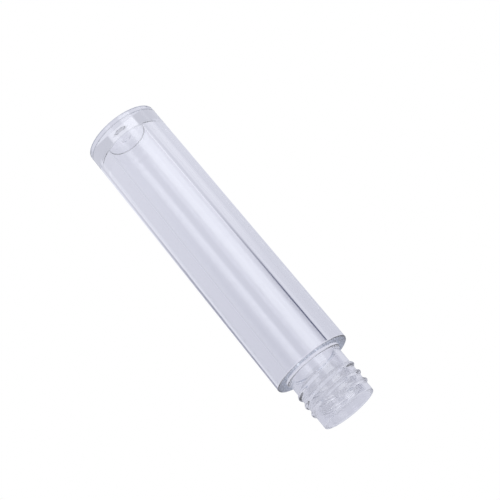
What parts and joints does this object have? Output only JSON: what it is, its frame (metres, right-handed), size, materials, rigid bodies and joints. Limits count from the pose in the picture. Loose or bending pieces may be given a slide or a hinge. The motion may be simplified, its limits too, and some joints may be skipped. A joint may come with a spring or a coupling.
{
  "type": "lip gloss tube",
  "caption": "Clear thick-walled round lip gloss tube, uncapped: outer jacket, inner vial with a screw-threaded neck, and a wiper insert that pulls out of the neck.",
  "frame": {"origin": "centre of the foot ring's resting plane, on the tube's axis", "axes": "+Z along the tube's axis from the base to the mouth; the neck thread starts on the -Y side"},
  "size_m": [0.0172, 0.0172, 0.0767],
  "materials": {
    "clear_jacket": "crystal-clear heavy-wall PETG with a faint cool tint, polished",
    "clear_vial": "crystal-clear PETG, polished, with a moulded thread",
    "clear_wiper": "clear soft low-density polyethylene, slightly hazy"
  },
  "bodies": {
    "tube": {"outer_jacket": "clear_jacket", "inner_vial": "clear_vial"},
    "wiper_insert": {"wiper": "clear_wiper"}
  },
  "joints": [
    {"name": "wiper_pull", "type": "slide", "parent": "tube", "child": "wiper_insert", "axis": [0, 0, 1], "range_m": [0, 0.012]}
  ]
}
